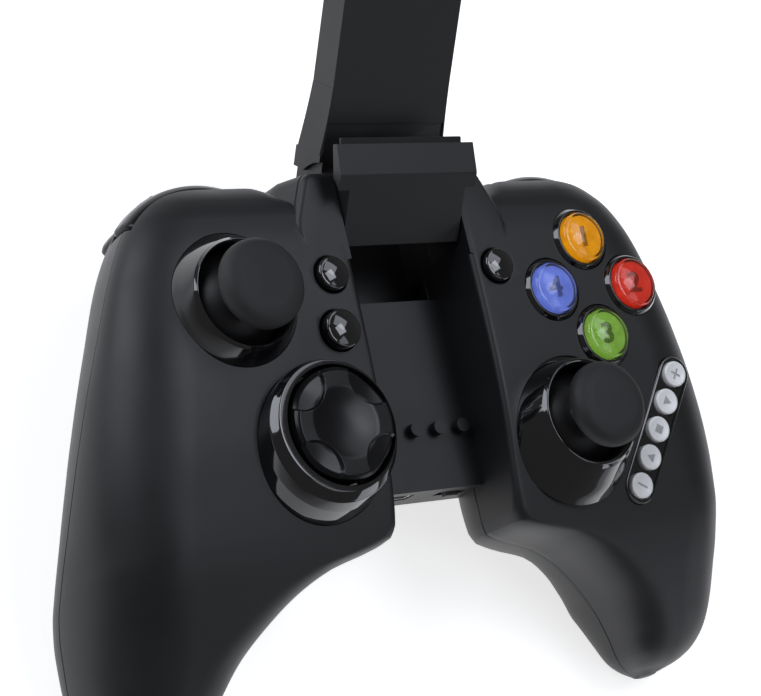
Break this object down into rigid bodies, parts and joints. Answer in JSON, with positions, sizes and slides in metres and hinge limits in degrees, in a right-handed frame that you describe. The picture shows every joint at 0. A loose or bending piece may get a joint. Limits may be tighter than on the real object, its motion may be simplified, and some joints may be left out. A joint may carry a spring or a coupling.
{
  "type": "mobile game controller",
  "caption": "Two-grip game controller with sticks, a round direction pad, face buttons, triggers and a tilting spring jaw that holds a phone above the middle bay.",
  "frame": {"origin": "middle of the flat under the rear hump, which rests on a table", "axes": "+X to the player's right, +Y from the grips to the shoulder buttons, +Z out of the control face"},
  "size_m": [0.155, 0.1608, 0.0799],
  "materials": {
    "soft_black": "soft-touch satin, fine grain",
    "gloss_black": "polished piano black",
    "holder_grey": "satin, fine grain",
    "rubber_black": "matte moulded rubber",
    "stem_black": "smooth black",
    "button_red": "clear tinted dome",
    "button_orange": "clear tinted dome",
    "button_blue": "clear tinted dome",
    "button_green": "clear tinted dome",
    "media_silver": "pearl silver lacquer",
    "light_clear": "clear light guide",
    "board_green": "solder-masked board",
    "steel": "bright zinc",
    "silicone": "grey silicone",
    "cell_silver": "foil pouch",
    "inner_plastic": "unpainted moulding"
  },
  "bodies": {
    "housing": {"front_shell": "soft_black", "rear_shell": "soft_black", "left_stick_bezel": "gloss_black", "right_stick_bezel": "gloss_black", "left_stick_module": "inner_plastic", "right_stick_module": "inner_plastic", "dpad_bezel": "gloss_black", "dpad_membrane": "silicone", "face_button_collars": "gloss_black", "face_membrane": "silicone", "media_strip": "gloss_black", "light_pipes": "light_clear", "left_board": "board_green", "right_board": "board_green", "main_board": "board_green", "battery": "cell_silver", "usb_socket": "steel", "case_screws": "steel", "left_trigger_pin": "steel", "right_trigger_pin": "steel", "left_trigger_spring": "steel", "right_trigger_spring": "steel", "hinge_pin": "steel"},
    "left_yoke": {"left_stick_yoke": "inner_plastic"},
    "left_stick": {"left_stick_stem": "stem_black", "left_stick_cap": "rubber_black"},
    "right_yoke": {"right_stick_yoke": "inner_plastic"},
    "right_stick": {"right_stick_stem": "stem_black", "right_stick_cap": "rubber_black"},
    "dpad_ball": {"dpad_pivot": "inner_plastic"},
    "direction_pad": {"dpad": "gloss_black"},
    "red_button": {"right_face_button": "button_red"},
    "orange_button": {"upper_face_button": "button_orange"},
    "blue_button": {"left_face_button": "button_blue"},
    "green_button": {"lower_face_button": "button_green"},
    "upper_left_key": {"left_upper_key": "gloss_black"},
    "lower_left_key": {"left_lower_key": "gloss_black"},
    "upper_right_key": {"right_key": "gloss_black"},
    "media_1": {"media_button_1": "media_silver"},
    "media_2": {"media_button_2": "media_silver"},
    "media_3": {"media_button_3": "media_silver"},
    "media_4": {"media_button_4": "media_silver"},
    "media_5": {"media_button_5": "media_silver"},
    "power_switch": {"switch_knob": "inner_plastic"},
    "bumper_left": {"left_bumper": "gloss_black"},
    "bumper_right": {"right_bumper": "gloss_black"},
    "trigger_left": {"left_trigger": "gloss_black"},
    "trigger_right": {"right_trigger": "gloss_black"},
    "holder": {"holder_base": "holder_grey", "lip_pad": "rubber_black", "holder_rail": "holder_grey", "holder_screws": "steel", "slider_spring": "steel"},
    "upper_jaw": {"slider": "holder_grey", "hook_pad": "rubber_black"}
  },
  "joints": [
    {"name": "left_stick_fore_aft", "type": "hinge", "parent": "housing", "child": "left_yoke", "pos_m": [-0.0423, 0.0047, 0.032], "axis": [1, 0, 0], "range_deg": [-12.5, 12.5], "stiffness_Nm_per_rad": 0.08},
    {"name": "left_stick_sideways", "type": "hinge", "parent": "left_yoke", "child": "left_stick", "pos_m": [-0.0423, 0.0047, 0.032], "axis": [0, 1, 0], "range_deg": [-12.5, 12.5], "stiffness_Nm_per_rad": 0.08},
    {"name": "right_stick_fore_aft", "type": "hinge", "parent": "housing", "child": "right_yoke", "pos_m": [0.0315, -0.0241, 0.032], "axis": [1, 0, 0], "range_deg": [-12.5, 12.5], "stiffness_Nm_per_rad": 0.08},
    {"name": "right_stick_sideways", "type": "hinge", "parent": "right_yoke", "child": "right_stick", "pos_m": [0.0315, -0.0241, 0.032], "axis": [0, 1, 0], "range_deg": [-12.5, 12.5], "stiffness_Nm_per_rad": 0.08},
    {"name": "dpad_fore_aft", "type": "hinge", "parent": "housing", "child": "dpad_ball", "pos_m": [-0.0276, -0.0218, 0.038], "axis": [1, 0, 0], "range_deg": [-5, 5], "stiffness_Nm_per_rad": 0.2},
    {"name": "dpad_sideways", "type": "hinge", "parent": "dpad_ball", "child": "direction_pad", "pos_m": [-0.0276, -0.0218, 0.038], "axis": [0, 1, 0], "range_deg": [-5, 5], "stiffness_Nm_per_rad": 0.2},
    {"name": "red_press", "type": "slide", "parent": "housing", "child": "red_button", "axis": [0, 0, -1], "range_m": [0, 0.0015], "stiffness_N_per_m": 400},
    {"name": "orange_press", "type": "slide", "parent": "housing", "child": "orange_button", "axis": [0, 0, -1], "range_m": [0, 0.0015], "stiffness_N_per_m": 400},
    {"name": "blue_press", "type": "slide", "parent": "housing", "child": "blue_button", "axis": [0, 0, -1], "range_m": [0, 0.0015], "stiffness_N_per_m": 400},
    {"name": "green_press", "type": "slide", "parent": "housing", "child": "green_button", "axis": [0, 0, -1], "range_m": [0, 0.0015], "stiffness_N_per_m": 400},
    {"name": "upper_left_key_press", "type": "slide", "parent": "housing", "child": "upper_left_key", "axis": [0, 0, -1], "range_m": [0, 0.001], "stiffness_N_per_m": 500},
    {"name": "lower_left_key_press", "type": "slide", "parent": "housing", "child": "lower_left_key", "axis": [0, 0, -1], "range_m": [0, 0.001], "stiffness_N_per_m": 500},
    {"name": "upper_right_key_press", "type": "slide", "parent": "housing", "child": "upper_right_key", "axis": [0, 0, -1], "range_m": [0, 0.001], "stiffness_N_per_m": 500},
    {"name": "media_1_press", "type": "slide", "parent": "housing", "child": "media_1", "axis": [0.0685, 0.1131, -0.9912], "range_m": [0, 0.0008], "stiffness_N_per_m": 500},
    {"name": "media_2_press", "type": "slide", "parent": "housing", "child": "media_2", "axis": [0.0685, 0.1131, -0.9912], "range_m": [0, 0.0008], "stiffness_N_per_m": 500},
    {"name": "media_3_press", "type": "slide", "parent": "housing", "child": "media_3", "axis": [0.0685, 0.1131, -0.9912], "range_m": [0, 0.0008], "stiffness_N_per_m": 500},
    {"name": "media_4_press", "type": "slide", "parent": "housing", "child": "media_4", "axis": [0.0685, 0.1131, -0.9912], "range_m": [0, 0.0008], "stiffness_N_per_m": 500},
    {"name": "media_5_press", "type": "slide", "parent": "housing", "child": "media_5", "axis": [0.0685, 0.1131, -0.9912], "range_m": [0, 0.0008], "stiffness_N_per_m": 500},
    {"name": "power_switch_slide", "type": "slide", "parent": "housing", "child": "power_switch", "axis": [1, 0, 0], "range_m": [-0.0015, 0.0015]},
    {"name": "right_bumper_press", "type": "slide", "parent": "housing", "child": "bumper_right", "axis": [-0.2924, -0.9563, 0], "range_m": [0, 0.001], "stiffness_N_per_m": 900},
    {"name": "left_bumper_press", "type": "slide", "parent": "housing", "child": "bumper_left", "axis": [0.2924, -0.9563, 0], "range_m": [0, 0.001], "stiffness_N_per_m": 900},
    {"name": "right_trigger_pull", "type": "hinge", "parent": "housing", "child": "trigger_right", "pos_m": [0.041, 0.015, 0.021], "axis": [-1, 0, 0], "range_deg": [0, 13], "stiffness_Nm_per_rad": 0.12, "springref_deg": -8.59},
    {"name": "left_trigger_pull", "type": "hinge", "parent": "housing", "child": "trigger_left", "pos_m": [-0.041, 0.015, 0.021], "axis": [-1, 0, 0], "range_deg": [0, 13], "stiffness_Nm_per_rad": 0.12, "springref_deg": -8.59},
    {"name": "holder_tilt", "type": "hinge", "parent": "housing", "child": "holder", "pos_m": [0, 0.0225, 0.033], "axis": [1, 0, 0], "range_deg": [-36, 50]},
    {"name": "jaw_slide", "type": "slide", "parent": "holder", "child": "upper_jaw", "axis": [0, 0.809, 0.5878], "range_m": [0, 0.03], "stiffness_N_per_m": 120, "springref_m": -0.012}
  ]
}
